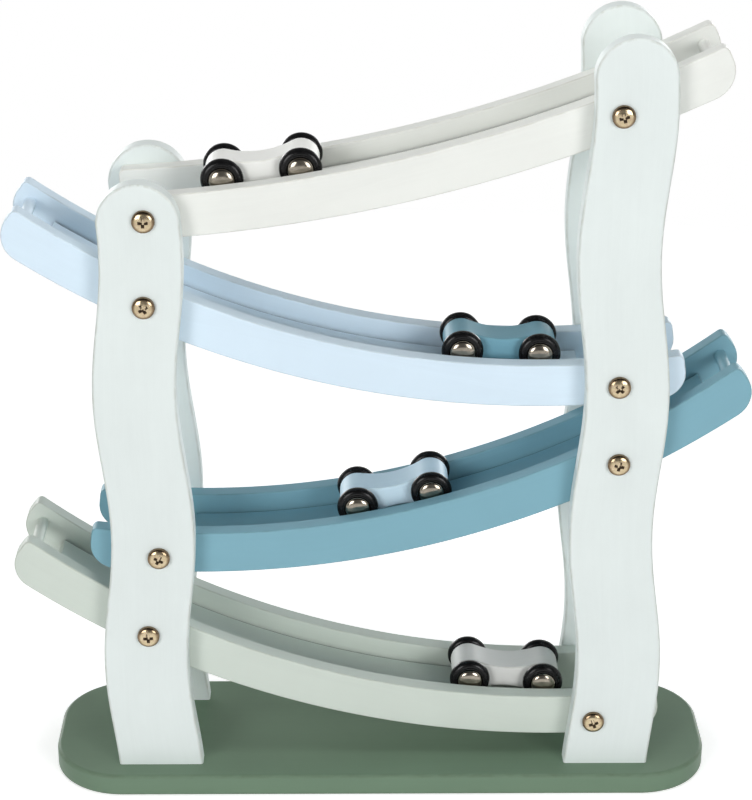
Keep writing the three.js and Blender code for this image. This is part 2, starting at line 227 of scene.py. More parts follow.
def edge_profile(edge):
    """Inset, depth and painted-shade weight along a rounded edge, with a flat strip at both ends."""
    profile = [(edge + EDGE_HOLD, 0, 0)]
    for i in range(EDGE_STEPS + 1):
        turn = QUARTER * i / EDGE_STEPS
        profile.append((edge * (1 - math.sin(turn)), edge * (1 - math.cos(turn)), math.sin(2 * turn)))
    profile.append((0, edge + EDGE_HOLD, 0))
    return profile


def slab(name, outline, low, high, edge, place, grain, material, flat_at=None):
    """A board of the given outline in u and v, from low to high in w, with its edges rounded.

    place turns u, v and w into a point, and grain turns them into the wood's direction, for the paint.
    """
    if signed_area(outline) < 0:
        outline = outline[::-1]
    steps = inward_steps(outline, flat_at)
    profile = edge_profile(edge)
    rings = [(inset, low + depth, edge_shade) for inset, depth, edge_shade in profile]
    rings += [(inset, high - depth, edge_shade) for inset, depth, edge_shade in reversed(profile)]
    points, grains, edges, faces = [], [], [], []
    count = len(outline)
    for inset, w, edge_shade in rings:
        for (u, v), step in zip(outline, steps):
            u_in, v_in = u + step.x * inset, v + step.y * inset
            points.append(place(u_in, v_in, w))
            grains.append(in_metres(grain(u_in, v_in, w)))
            edges.append(edge_shade)
    for ring in range(len(rings) - 1):
        start = ring * count
        for i in range(count):
            j = (i + 1) % count
            faces.append((start + i, start + j, start + count + j, start + count + i))
    faces.append(tuple(range(count - 1, -1, -1)))
    faces.append(tuple(range(len(points) - count, len(points))))
    return make_piece(name, points, faces, {"grain": grains, "edge": edges}, [material])


def turned(name, profile, centre, materials, segment_materials=None, closed=False):
    """A piece turned about Y. Its profile gives radius and Y, from axis to axis, or closed on itself."""
    points, faces, face_materials, rings = [], [], [], []
    for radius, y in profile:
        if radius == 0:
            rings.append([len(points)] * TURNED_SIDES)
            points.append((0, y, 0))
            continue
        rings.append(list(range(len(points), len(points) + TURNED_SIDES)))
        for i in range(TURNED_SIDES):
            turn = 2 * math.pi * i / TURNED_SIDES
            points.append((radius * math.sin(turn), y, radius * math.cos(turn)))
    following_rings = rings[1:] + rings[:1] if closed else rings[1:]
    for index, (ring, following) in enumerate(zip(rings, following_rings)):
        for i in range(TURNED_SIDES):
            j = (i + 1) % TURNED_SIDES
            corners = [ring[i], following[i], following[j], ring[j]]
            faces.append(tuple(dict.fromkeys(corners)))
            face_materials.append(segment_materials[index] if segment_materials else 0)
    attributes = {"grain": [in_metres(point) for point in points], "edge": [0.0] * len(points)}
    points = [(x + centre[0], y + centre[1], z + centre[2]) for x, y, z in points]
    return make_piece(name, points, faces, attributes, materials, face_materials)


# Shader nodes
MIX_COLOURS = (6, 7)  # the Mix node's colour sockets, which share their names with its other kinds
MIX_RESULT = 2
NOISE_SPAN = (0.3, 0.7)  # values between which most of a noise lies


def linear(code):
    """A hex colour in linear light."""
    values = [int(code[i:i + 2], 16) / 255 for i in (1, 3, 5)]
    return [v / 12.92 if v <= 0.04045 else ((v + 0.055) / 1.055) ** 2.4 for v in values]


def shaded(colour, factor):
    return (*[min(1, value * factor) for value in colour], 1)


def new_material(name):
    """A new material with its node tree and shader."""
    material = bpy.data.materials.new(name)
    material.use_nodes = True
    tree = material.node_tree
    return material, tree, tree.nodes["Principled BSDF"]


def attribute(tree, label):
    node = tree.nodes.new("ShaderNodeAttribute")
    node.attribute_name = label
    return node


def noise(tree, vector, cells, detail=3, roughness=0.55, distortion=0):
    """Noise whose cells per metre are given along, across and through the grain."""
    mapping = tree.nodes.new("ShaderNodeMapping")
    mapping.inputs["Scale"].default_value = cells
    texture = tree.nodes.new("ShaderNodeTexNoise")
    texture.inputs["Scale"].default_value = 1
    texture.inputs["Detail"].default_value = detail
    texture.inputs["Roughness"].default_value = roughness
    texture.inputs["Distortion"].default_value = distortion
    tree.links.new(vector, mapping.inputs["Vector"])
    tree.links.new(mapping.outputs["Vector"], texture.inputs["Vector"])
    return texture.outputs["Fac"]


def ranged(tree, value, span, target=(0, 1)):
    """The value, with its span spread over the target."""
    node = tree.nodes.new("ShaderNodeMapRange")
    node.inputs["From Min"].default_value, node.inputs["From Max"].default_value = span
    node.inputs["To Min"].default_value, node.inputs["To Max"].default_value = target
    tree.links.new(value, node.inputs["Value"])
    return node.outputs["Result"]


def math_node(tree, operation, first, second=0):
    """The result of an operation on two values, each a socket or a number."""
    node = tree.nodes.new("ShaderNodeMath")
    node.operation = operation
    for socket, value in zip(node.inputs, (first, second)):
        if isinstance(value, (int, float)):
            socket.default_value = value
        else:
            tree.links.new(value, socket)
    return node.outputs["Value"]


def mixed(tree, factor, first, second):
    """A mix of two colours, each a socket or a constant."""
    node = tree.nodes.new("ShaderNodeMix")
    node.data_type = "RGBA"
    tree.links.new(factor, node.inputs["Factor"])
    for index, value in zip(MIX_COLOURS, (first, second)):
        if isinstance(value, tuple):
            node.inputs[index].default_value = value
        else:
            tree.links.new(value, node.inputs[index])
    return node.outputs[MIX_RESULT]


def bumped(tree, shader, height, strength, relief):
    """Gives the shader a relief of so many metres."""
    node = tree.nodes.new("ShaderNodeBump")
    node.inputs["Strength"].default_value = strength
    node.inputs["Distance"].default_value = relief
    tree.links.new(height, node.inputs["Height"])
    tree.links.new(node.outputs["Normal"], shader.inputs["Normal"])


# Paint
MATT = {"roughness": (0.46, 0.54), "specular": 0.25}
SATIN = {"roughness": (0.42, 0.47), "specular": 0.18}
CLOUD_CELLS = (22, 40, 40)
CLOUD_TONES = (0.97, 1.02)  # tones are shares of the paint's colour
BRUSH_CELLS = (35, 1300, 1300)
BRUSH_SPAN = (0.45, 0.75)
BRUSH_MIX = (0, 0.18)
BRUSH_TONE = 1.05
WOOD_CELLS = (14, 420, 420)
WOOD_SPAN = (0.35, 0.65)
WOOD_MIX = (0, 0.2)
WOOD_TONE = 0.93
PEEL_CELLS = (1500, 1500, 1500)
# Painted shade on the rounded edges of a board, broken up by noise
EDGE_SHADE_CELLS = (160, 500, 500)
EDGE_SHADE_SPAN = (0.42, 0.66)
EDGE_SHADE_MIX = (0.25, 0.7)
EDGE_SHADE_TONES = (0.72, 0.69, 0.64)  # red, green and blue of the painted shade on a rounded edge
# Painted shade of the gap beside the rails, on the floor's rounded edges, partly a dark joint
SEAM_SHADE_SPAN = (0, 0.25)
SEAM_SHADE_TONE = 0.08
BRUSH_HEIGHT = 0.5
WOOD_HEIGHT = 0.8
PEEL_HEIGHT = 0.35
PAINT_BUMP = 0.25
PAINT_RELIEF = 0.00012


def painted_wood(name, code, finish=MATT, seam=False):
    """Paint on wood: cloudy coats, faint brush lines along the grain, and painted shade on the rounded
    edges, broken up by noise.

    The rounded edges of a piece that lies in a seam get a darker painted shade of the gap instead, partly
    a dark joint.
    """
    material, tree, shader = new_material(name)
    colour = linear(code)
    grain = attribute(tree, "grain").outputs["Vector"]
    edge = attribute(tree, "edge").outputs["Fac"]
    clouds = noise(tree, grain, CLOUD_CELLS, detail=4)
    brush = noise(tree, grain, BRUSH_CELLS)
    wood = noise(tree, grain, WOOD_CELLS, detail=5, roughness=0.6, distortion=0.4)
    peel = noise(tree, grain, PEEL_CELLS, detail=2)
    coat = mixed(tree, ranged(tree, clouds, NOISE_SPAN), *[shaded(colour, tone) for tone in CLOUD_TONES])
    coat = mixed(tree, ranged(tree, wood, WOOD_SPAN, WOOD_MIX), coat, shaded(colour, WOOD_TONE))
    coat = mixed(tree, ranged(tree, brush, BRUSH_SPAN, BRUSH_MIX), coat, shaded(colour, BRUSH_TONE))
    if seam:
        # Painted shade of the seam's gap on the rounded edges, partly a dark joint
        coat = mixed(tree, ranged(tree, edge, SEAM_SHADE_SPAN), coat, shaded(colour, SEAM_SHADE_TONE))
    else:
        # Painted shade on the rounded edges, broken up by noise
        edge_shade_breakup = ranged(tree, noise(tree, grain, EDGE_SHADE_CELLS), EDGE_SHADE_SPAN, EDGE_SHADE_MIX)
        edge_shade_colour = [value * tone for value, tone in zip(colour, EDGE_SHADE_TONES)]
        coat = mixed(tree, math_node(tree, "MULTIPLY", edge, edge_shade_breakup), coat, (*edge_shade_colour, 1))
    tree.links.new(coat, shader.inputs["Base Color"])
    tree.links.new(ranged(tree, clouds, NOISE_SPAN, finish["roughness"]), shader.inputs["Roughness"])
    shader.inputs["Specular IOR Level"].default_value = finish["specular"]
    height = math_node(tree, "MULTIPLY", brush, BRUSH_HEIGHT)
    for layer, share in ((wood, WOOD_HEIGHT), (peel, PEEL_HEIGHT)):
        height = math_node(tree, "ADD", height, math_node(tree, "MULTIPLY", layer, share))
    bumped(tree, shader, height, PAINT_BUMP, PAINT_RELIEF)
    return material


# Rubber, plastic and metal
def patchy(name, patches, tones, roughness, tone_span=NOISE_SPAN, roughness_span=NOISE_SPAN,
           metallic=0, specular=0.5, fine=None):
    """A material whose colour and roughness go from one value to another in patches.

    patches holds what their noise takes, and fine the cells, strength and height of a fine relief.
    """
    material, tree, shader = new_material(name)
    grain = attribute(tree, "grain").outputs["Vector"]
    patch = noise(tree, grain, **patches)
    tree.links.new(mixed(tree, ranged(tree, patch, tone_span), *tones), shader.inputs["Base Color"])
    tree.links.new(ranged(tree, patch, roughness_span, roughness), shader.inputs["Roughness"])
    shader.inputs["Metallic"].default_value = metallic
    shader.inputs["Specular IOR Level"].default_value = specular
    if fine:
        grit = noise(tree, grain, fine["cells"], detail=2)
        bumped(tree, shader, grit, fine["strength"], fine["relief"])
    return material


def black_rubber():
    """Smooth rubber of a ring tyre with a faint bloom."""
    return patchy(
        "tyre_rubber",
        patches={"cells": (350, 350, 350), "detail": 4},
        tones=((0.0035, 0.0035, 0.004, 1), (0.008, 0.008, 0.0085, 1)),
        tone_span=(0.35, 0.7),
        roughness=(0.15, 0.26),
        specular=0.22,
        fine={"cells": (2600, 2600, 2600), "strength": 0.2, "relief": 0.00004},
    )


def black_hub():
    """Moulded black plastic of a hub, a little duller than the tyre."""
    return patchy(
        "hub_plastic",
        patches={"cells": (500, 500, 500)},
        tones=((0.003, 0.003, 0.003, 1), (0.007, 0.0065, 0.0065, 1)),
        tone_span=(0.35, 0.65),
        roughness=(0.18, 0.3),
        specular=0.3,
        fine={"cells": (3000, 3000, 3000), "strength": 0.15, "relief": 0.00003},
    )


def bright_steel():
    """Polished cap of an axle, with faint smears."""
    return patchy(
        "cap_steel",
        patches={"cells": (420, 420, 420), "detail": 5, "distortion": 0.6},
        tones=((0.27, 0.24, 0.195, 1), (0.37, 0.33, 0.275, 1)),
        roughness=(0.1, 0.22),
        roughness_span=(0.3, 0.75),
        metallic=1,
        fine={"cells": (5000, 1200, 5000), "strength": 0.08, "relief": 0.00002},
    )


def recess_shade_steel():
    """Inside of a cross recess, dark brown metal as painted shade in the recess."""
    return patchy(
        "recess_shade_steel",
        patches={"cells": (700, 700, 700)},
        tones=((0.07, 0.047, 0.028, 1), (0.13, 0.09, 0.055, 1)),
        roughness=(0.35, 0.5),
        metallic=0.3,
    )


FILM_TONES = ((0.52, 0.42, 0.25, 1), (0.64, 0.54, 0.37, 1))
FILM_CELLS = (260, 260, 260)
SPOT_TONE = (0.46, 0.3, 0.22, 1)
SPOT_CELLS = (900, 900, 900)
SPOT_SPAN = (0.48, 0.7)
SPOT_MIX = (0, 0.6)
# Painted dark reflection at the head's rim
PAINTED_RIM_REFLECTION_TONE = (0.17, 0.115, 0.07, 1)
PAINTED_RIM_REFLECTION_MIX = (0, 0.9)
SCREW_ROUGHNESS = (0.14, 0.26)


def yellow_steel():
    """Yellow passivated steel, with the rosy tints of the film and a brown rim painted as a dark
    reflection.
    """
    material, tree, shader = new_material("screw_steel")
    grain = attribute(tree, "grain").outputs["Vector"]
    film = noise(tree, grain, FILM_CELLS, distortion=0.8)
    spots = noise(tree, grain, SPOT_CELLS)
    parts = tree.nodes.new("ShaderNodeSeparateXYZ")
    tree.links.new(grain, parts.inputs["Vector"])
    squares = [math_node(tree, "MULTIPLY", parts.outputs[axis], parts.outputs[axis]) for axis in "XZ"]
    from_axis = math_node(tree, "SQRT", math_node(tree, "ADD", *squares))
    # Brown painted reflection towards the head's rim
    rim = ranged(tree, from_axis, in_metres((PAINTED_RIM_REFLECTION_START, PAINTED_RIM_REFLECTION_FULL)), PAINTED_RIM_REFLECTION_MIX)
    colour = mixed(tree, ranged(tree, film, NOISE_SPAN), *FILM_TONES)
    colour = mixed(tree, ranged(tree, spots, SPOT_SPAN, SPOT_MIX), colour, SPOT_TONE)
    colour = mixed(tree, rim, colour, PAINTED_RIM_REFLECTION_TONE)
    tree.links.new(colour, shader.inputs["Base Color"])
    shader.inputs["Metallic"].default_value = 1
    tree.links.new(ranged(tree, spots, NOISE_SPAN, SCREW_ROUGHNESS), shader.inputs["Roughness"])
    bumped(tree, shader, spots, strength=0.12, relief=0.00004)
    return material


# Ramps
def joint(name):
    return next(entry for entry in frame["joints"] if entry["name"] == name)


def place_ramps():
    """Numbers the ramps and takes their sides and arc centres from the cars' joints.

    The ends are kept in radians as upper and lower.
    """
    for number, ramp in enumerate(RAMPS, 1):
        roll = joint(f"car_{number}_roll")
        ramp["number"] = number
        ramp["side"] = roll["axis"][1]
        ramp["x"] = roll["pos_m"][0] / MM
        ramp["z"] = roll["pos_m"][2] / MM
        ramp["upper"] = math.radians(ramp["upper_end"])
        ramp["lower"] = math.radians(ramp["lower_end"])


def ramp_point(ramp, depth, angle):
    """Point of a ramp at a depth below the rails' top edge and an angle towards the upper end."""
    reach = ramp["radius"] + depth
    return ramp["x"] + ramp["side"] * reach * math.sin(angle), ramp["z"] - reach * math.cos(angle)


def bent_outline(ramp, from_angle, to_angle, from_depth, to_depth, corners):
    """Outline of a bar bent along a ramp, with a radius at each corner.

    Corners: top of the lower end, top of the upper end, bottom of the upper end, bottom of the lower end.
    """
    points = []
    top_low, top_high, bottom_high, bottom_low = corners
    middle = ramp["radius"] + (from_depth + to_depth) / 2

    def edge(start, end, depth):
        for i in range(ARC_STEPS + 1):
            points.append(ramp_point(ramp, depth, start + (end - start) * i / ARC_STEPS))

    def corner(angle, depth, radius, turn):
        for i in range(1, CORNER_STEPS):
            swing = turn + QUARTER * i / CORNER_STEPS
            along = angle + radius * math.sin(swing) / middle
            points.append(ramp_point(ramp, depth - radius * math.cos(swing), along))

    edge(from_angle + top_low / middle, to_angle - top_high / middle, from_depth)
    if top_high:
        corner(to_angle - top_high / middle, from_depth + top_high, top_high, 0)
        points.append(ramp_point(ramp, from_depth + top_high, to_angle))
    if bottom_high:
        points.append(ramp_point(ramp, to_depth - bottom_high, to_angle))
        corner(to_angle - bottom_high / middle, to_depth - bottom_high, bottom_high, QUARTER)
    edge(to_angle - bottom_high / middle, from_angle + bottom_low / middle, to_depth)
    if bottom_low:
        corner(from_angle + bottom_low / middle, to_depth - bottom_low, bottom_low, 2 * QUARTER)
        points.append(ramp_point(ramp, to_depth - bottom_low, from_angle))
    if top_low:
        points.append(ramp_point(ramp, from_depth + top_low, from_angle))
        corner(from_angle + top_low / middle, from_depth + top_low, top_low, 3 * QUARTER)
    return points


def upright(u, v, w):
    """Outline in X and Z, thickness along Y."""
    return u, w, v


def ramp_grain(ramp):
    """Grain that runs along the ramp's arc."""
    def grain(u, v, w):
        across, down = u - ramp["x"], ramp["z"] - v
        along = math.atan2(across, down) * ramp["radius"]
        return along, math.hypot(across, down) - ramp["radius"], w + RAMP_GRAIN_SHIFT * ramp["number"]
    return grain


def add_rails(ramp, slot, paint):
    corners = (RAIL_TOP_CORNER, RAIL_TOP_CORNER, RAIL_UPPER_END_CORNER, RAIL_LOWER_END_CORNER)
    outline = bent_outline(ramp, ramp["lower"], ramp["upper"], 0, RAIL_HEIGHT, corners)
    grain = ramp_grain(ramp)
    for face, low, high in (("front", -RAIL_OUTER, -CHANNEL_HALF), ("back", CHANNEL_HALF, RAIL_OUTER)):
        node = f"ramp_{ramp['number']}_{face}_rail"
        rail = slab(f"{node}_board", outline, low, high, RAIL_EDGE, upright, grain, paint)
        put(rail, "frame", slot, node)


def add_ramp_floor(ramp, slot):
    """Floor between the rails. Its rounded long edges leave a groove beside the rails and carry painted
    shade of that gap, partly a dark joint, as a dark seam.
    """
    reach = ramp["radius"] + FLOOR_DEPTH
    start = ramp["upper"] - START_GAP / reach
    end = ramp["lower"] + DROP_LENGTH / reach
    square_corners = (0, 0, 0, 0)
    outline = bent_outline(ramp, end, start, FLOOR_DEPTH, FLOOR_DEPTH + FLOOR_THICKNESS, square_corners)
    grain = ramp_grain(ramp)
    node = f"ramp_{ramp['number']}_floor"
    paint = painted_wood(f"{node}_paint", ramp["paint"], seam=True)
    half = CHANNEL_HALF
    board = slab(f"{node}_board", outline, -half, half, FLOOR_EDGE, upright, grain, paint)
    put(board, "frame", slot, node)


def add_dowel(ramp, slot, paint):
    angle = ramp["upper"] - DOWEL_INSET / (ramp["radius"] + DOWEL_DEPTH)
    x, z = ramp_point(ramp, DOWEL_DEPTH, angle)
    reach = CHANNEL_HALF + DOWEL_SEAT
    radius = DOWEL_DIAMETER / 2
    side = [(radius, y) for y in (-reach, -reach / 2, reach / 2, reach)]
    node = f"ramp_{ramp['number']}_dowel"
    dowel = turned(f"{node}_rod", [(0, -reach), *side, (0, reach)], (x, 0, z), [paint])
    put(dowel, "frame", slot, node)


def add_ramp(ramp):
    slot = f"ramp_{ramp['number']}_paint"
    paint = painted_wood(slot, ramp["paint"])
    add_rails(ramp, slot, paint)
    add_ramp_floor(ramp, slot)
    add_dowel(ramp, slot, paint)


# Posts and base
def post_middle(side, z):
    height = z - BASE_THICKNESS
    turn = 2 * math.pi * (height - POST_WAVE_CREST) / POST_WAVE_LENGTH
    lean = POST_LEAN * (height - POST_LEAN_FROM)
    return side * (POST_MIDDLE_X + POST_WAVE_SWING * math.cos(turn)) - lean


def post_half_width(z):
    return (POST_FOOT_WIDTH - POST_TAPER * (z - BASE_THICKNESS)) / 2


def post_outline(side, top, highest_screw):
    """Waving band from the base plate to a round top."""
    cap_radius = post_half_width(highest_screw)
    cap_z = top - cap_radius
    cap_x = post_middle(side, cap_z)
    heights = [BASE_THICKNESS + (cap_z - BASE_THICKNESS) * i / WAVE_STEPS for i in range(WAVE_STEPS + 1)]
    points = [(post_middle(side, z) + post_half_width(z), z) for z in heights]
    for i in range(1, POST_CAP_STEPS):
        turn = math.pi * i / POST_CAP_STEPS
        points.append((cap_x + cap_radius * math.cos(turn), cap_z + cap_radius * math.sin(turn)))
    points += [(post_middle(side, z) - post_half_width(z), z) for z in reversed(heights)]
    return points


def post_grain(side):
    """Grain that runs up a post along its wave."""
    def grain(u, v, w):
        return v + POST_GRAIN_SHIFT * side, u - post_middle(side, v), w
    return grain


def add_posts():
    paint = painted_wood("post_paint", POST_PAINT)
    for end, side in (("left", -1), ("right", 1)):
        screws = [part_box(f"ramp_{ramp['number']}_screw_{end}") for ramp in RAMPS]
        highest = max((low.z + high.z) / 2 for low, high in screws) / MM
        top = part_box(f"post_front_{end}")[1].z / MM
        outline = post_outline(side, top, highest)
        grain = post_grain(side)
        for face, low, high in (("front", -POST_OUTER, -RAIL_OUTER), ("back", RAIL_OUTER, POST_OUTER)):
            node = f"post_{face}_{end}"
            name = f"{node}_board"
            board = slab(name, outline, low, high, POST_EDGE, upright, grain, paint, BASE_THICKNESS)
            put(board, "frame", "post_paint", node)


def add_base():
    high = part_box("base_plate")[1] / MM
    corner_x, corner_y = high.x - BASE_CORNER, high.y - BASE_CORNER
    outline = []
    for quarter, (x, y) in enumerate(((1, 1), (-1, 1), (-1, -1), (1, -1))):
        for i in range(BASE_CORNER_STEPS + 1):
            turn = QUARTER * (quarter + i / BASE_CORNER_STEPS)
            u = x * corner_x + BASE_CORNER * math.cos(turn)
            v = y * corner_y + BASE_CORNER * math.sin(turn)
            outline.append((u, v))

    def flat(u, v, w):
        return u, v, w

    paint = painted_wood("base_paint", BASE_PAINT, SATIN)
    board = slab("base_plate_board", outline, 0, high.z, BASE_EDGE, flat, flat, paint)
    put(board, "frame", "base_paint", "base_plate")


# Screws
def cross_recess():
    """Cutter of a cross recess that narrows towards its bottom, which is its last face."""
    arm, half = RECESS_ARM, RECESS_HALF_WIDTH
    plus = [(arm, -half), (arm, half), (half, half), (half, arm), (-half, arm), (-half, half)]
    plus += [(-x, -z) for x, z in plus]
    top = -SCREW_HEAD_HEIGHT - CUTTER_EXCESS
    bottom = -SCREW_HEAD_HEIGHT + RECESS_DEPTH
    count = len(plus)
    points = [(x, top, z) for x, z in plus]
    points += [(x * RECESS_TAPER, bottom, z * RECESS_TAPER) for x, z in plus]
    faces = [(i, (i + 1) % count, (i + 1) % count + count, i + count) for i in range(count)]
    faces += [tuple(range(count - 1, -1, -1)), tuple(range(count, 2 * count))]
    return points, faces


def screw_mesh(steel, inside):
    """Pan head with a cross recess, its seat at Y of zero and its top towards -Y."""
    radius = SCREW_HEAD_DIAMETER / 2
    dome = SCREW_HEAD_HEIGHT - SCREW_WALL
    profile = []
    for i in range(DOME_STEPS + 1):
        turn = QUARTER * i / DOME_STEPS
        bulge = math.cos(turn) ** SCREW_FLATNESS if i < DOME_STEPS else 0
        profile.append((radius * math.sin(turn), -SCREW_WALL - dome * bulge))
    profile += [(radius, -SCREW_CHAMFER), (radius - SCREW_CHAMFER, 0), (0, 0)]
    head = turned("screw_head", profile, (0, 0, 0), [steel])
    points, faces = cross_recess()
    attributes = {"grain": [in_metres(point) for point in points]}
    kinds = [0] * (len(faces) - 1) + [1]
    cutter = make_piece("recess_cutter", points, faces, attributes, [inside, steel], kinds)
    cut = head.modifiers.new("recess", "BOOLEAN")
    cut.object = cutter
    cut.solver = "EXACT"
    cut.material_mode = "TRANSFER"
    bpy.context.view_layer.update()
    evaluated = head.evaluated_get(bpy.context.evaluated_depsgraph_get())
    mesh = bpy.data.meshes.new_from_object(evaluated)
    mesh.set_sharp_from_angle(angle=SMOOTH_ANGLE)
    bpy.data.objects.remove(head)
    bpy.data.objects.remove(cutter)
    return mesh


def add_screws():
    """Front screws in place of their solids, and the same on the back posts."""
    head = screw_mesh(yellow_steel(), recess_shade_steel())
    count = 0
    for ramp in RAMPS:
        for end in ("left", "right"):
            node = f"ramp_{ramp['number']}_screw_{end}"
            low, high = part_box(node)
            middle = (low + high) / 2
            for face, half_turn, y in (("front", 0, -POST_OUTER), ("back", math.pi, POST_OUTER)):
                mesh = head.copy()
                turn = Matrix.Rotation(half_turn, 4, "Z") @ Matrix.Rotation(SCREW_TURN * count, 4, "Y")
                mesh.transform(Matrix.Translation((middle.x, y * MM, middle.z)) @ turn)
                screw = bpy.data.objects.new(f"{node}_{face}_head", mesh)
                bpy.context.scene.collection.objects.link(screw)
                put(screw, "frame", "screw", *([node] if face == "front" else []))
                count += 1


# Cars
def axle_middle(number, end):
    """Middle of a car's axle in millimetres."""
    return Vector(joint(f"car_{number}_{end}_spin")["pos_m"]) / MM


def body_outline():
    """Round ends joined by a hollow above and below, in the car's own plane."""
    half_base = (axle_middle(1, "upper") - axle_middle(1, "lower")).length / 2
    dip = BODY_END_RADIUS - BODY_WAIST
    hollow = (half_base ** 2 + BODY_WAIST ** 2 - BODY_END_RADIUS ** 2) / (2 * dip)
    hollow_z = BODY_WAIST + hollow
    meet = math.atan2(hollow_z, half_base)
    arcs = [
        (half_base, 0, BODY_END_RADIUS, meet - math.pi, math.pi - meet),
        (0, hollow_z, hollow, -meet, meet - math.pi),
        (-half_base, 0, BODY_END_RADIUS, meet, 2 * math.pi - meet),
        (0, -hollow_z, hollow, math.pi - meet, meet),
    ]
    points = []
    for x, z, radius, start, end in arcs:
        for i in range(BODY_STEPS):
            turn = start + (end - start) * i / BODY_STEPS
            points.append((x + radius * math.cos(turn), z + radius * math.sin(turn)))
    return points


def add_body(number, paint):
    lower, upper = axle_middle(number, "lower"), axle_middle(number, "upper")
    middle = (lower + upper) / 2
    along = (upper - lower).normalized()
    if along.x < 0:
        along = -along

    def place(u, v, w):
        return middle.x + u * along.x - v * along.z, w, middle.z + u * along.z + v * along.x

    def grain(u, v, w):
        return u + CAR_GRAIN_SHIFT * number, v, w

    half = BODY_WIDTH / 2
    body = slab(f"car_{number}_body_block", body_outline(), -half, half, BODY_EDGE, place, grain, paint)
    put(body, f"car_{number}", f"car_{number}_paint", f"car_{number}_body")


def wheel_profile(out):
    """Hub and tyre as one closed profile, with the material of each stretch: 0 tyre, 1 hub.

    out gives the side of the cap.
    """
    ring_centre = WHEEL_DIAMETER / 2 - TYRE_RING
    lap = math.acos((HUB_RADIUS - ring_centre) / TYRE_RING)
    lip = TYRE_RING * math.sin(lap)
    inner_lip = HUB_RADIUS - HUB_LIP_WIDTH
    floor = WHEEL_HALF_WIDTH - HUB_RECESS
    profile = [
        (WHEEL_BORE, -WHEEL_HALF_WIDTH),
        (HUB_RADIUS - HUB_LIP, -WHEEL_HALF_WIDTH),
        (HUB_RADIUS, -WHEEL_HALF_WIDTH + HUB_LIP),
    ]
    kinds = [1] * len(profile)
    for i in range(TYRE_STEPS + 1):
        turn = lap * (2 * i / TYRE_STEPS - 1)
        profile.append((ring_centre + TYRE_RING * math.cos(turn), TYRE_RING * math.sin(turn)))
        kinds.append(0 if i < TYRE_STEPS else 1)
    rim = [
        (HUB_RADIUS, lip + HUB_LIP / 2),
        (HUB_RADIUS - HUB_LIP_WIDTH / 4, lip + HUB_LIP),
        (inner_lip + HUB_LIP_WIDTH / 4, lip + HUB_LIP),
        (inner_lip, lip + HUB_LIP / 2),
        (inner_lip - HUB_LIP / 2, floor),
        (WHEEL_BORE, floor),
    ]
    profile += rim
    kinds += [1] * len(rim)
    if out < 0:
        profile = [(radius, -y) for radius, y in reversed(profile)]
        kinds = kinds[-2::-1] + kinds[-1:]
    return profile, kinds


def axle_profile():
    """Pin with a domed cap at both ends."""
    rim = CAP_TOP - CAP_DOME
    half = []
    for i in range(DOME_STEPS + 1):
        turn = QUARTER * i / DOME_STEPS
        radius = CAP_RADIUS * math.sin(turn) ** CAP_FLATNESS
        half.append((radius, rim + CAP_DOME * math.cos(turn) ** CAP_FLATNESS))
    back = rim - CAP_RIM_THICKNESS
    half += [(CAP_RADIUS - CAP_RIM_INSET, back), (PIN_RADIUS, back)]
    profile = [(radius, -y) for radius, y in half] + half[::-1]
    profile[0], profile[-1] = (0, -CAP_TOP), (0, CAP_TOP)
    return profile


def add_wheels(number, tyre, hub, steel):
    for end in ("lower", "upper"):
        body = f"car_{number}_{end}_wheels"
        axle_place = axle_middle(number, end)
        for face, out in (("front", -1), ("back", 1)):
            node = f"car_{number}_{end}_wheel_{face}"
            low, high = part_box(node)
            profile, kinds = wheel_profile(out)
            centre = (axle_place.x, (low.y + high.y) / 2 / MM, axle_place.z)
            wheel = turned(f"{node}_ring", profile, centre, [tyre, hub], kinds, closed=True)
            put(wheel, body, "tyre", node)
        node = f"car_{number}_{end}_axle"
        axle = turned(f"{node}_pin", axle_profile(), (axle_place.x, 0, axle_place.z), [steel])
        put(axle, body, "axle", node)


def add_cars():
    tyre, hub, steel = black_rubber(), black_hub(), bright_steel()
    for ramp in RAMPS:
        number = ramp["number"]
        add_body(number, painted_wood(f"car_{number}_paint", ramp["car"]))
        add_wheels(number, tyre, hub, steel)


# Stage, in metres
FLOOR_SIZE = 8.0
FLOOR_COLOUR = (0.85, 0.85, 0.85, 1)
FLOOR_GLOW = 0.6
SHADOW_RADIUS = 0.34
WHITE_RADIUS = 0.75
WHITE = (1, 1, 1, 1)
AMBIENT = 0.17
DARK_SIDE = 0.22  # the studio in front of the track and overhead, as metal mirrors it
FRONT_SPAN = (-0.5, 0.2)  # Y of the directions over which the mirrored studio goes from dark to white
OVERHEAD_SPAN = (0.5, 0.75)  # Z of the directions over which it goes from white to dark

LAMPS = [
    # name, place, size, watts, mirrored
    ("softbox_left", (-1.0, -1.55, 0.62), (0.8, 0.75), 13.4, True),
    ("softbox_right", (1.0, -1.55, 0.62), (0.8, 0.75), 13.4, True),
    ("softbox_top", (0, -0.05, 0.85), (0.4, 0.3), 1.5, False),
    ("softbox_back_left", (-1.0, 1.55, 0.34), (0.8, 0.6), 12, True),
    ("softbox_back_right", (1.0, 1.55, 0.34), (0.8, 0.6), 12, True),
]
LAMP_TARGET = Vector((0, 0, 0.16))


def seen_directly(tree):
    """1 for rays that show the background: straight, mirrored or through glass."""
    path = tree.nodes.new("ShaderNodeLightPath")
    total = math_node(tree, "MAXIMUM", path.outputs["Is Camera Ray"], path.outputs["Is Glossy Ray"])
    return math_node(tree, "MAXIMUM", total, path.outputs["Is Transmission Ray"])


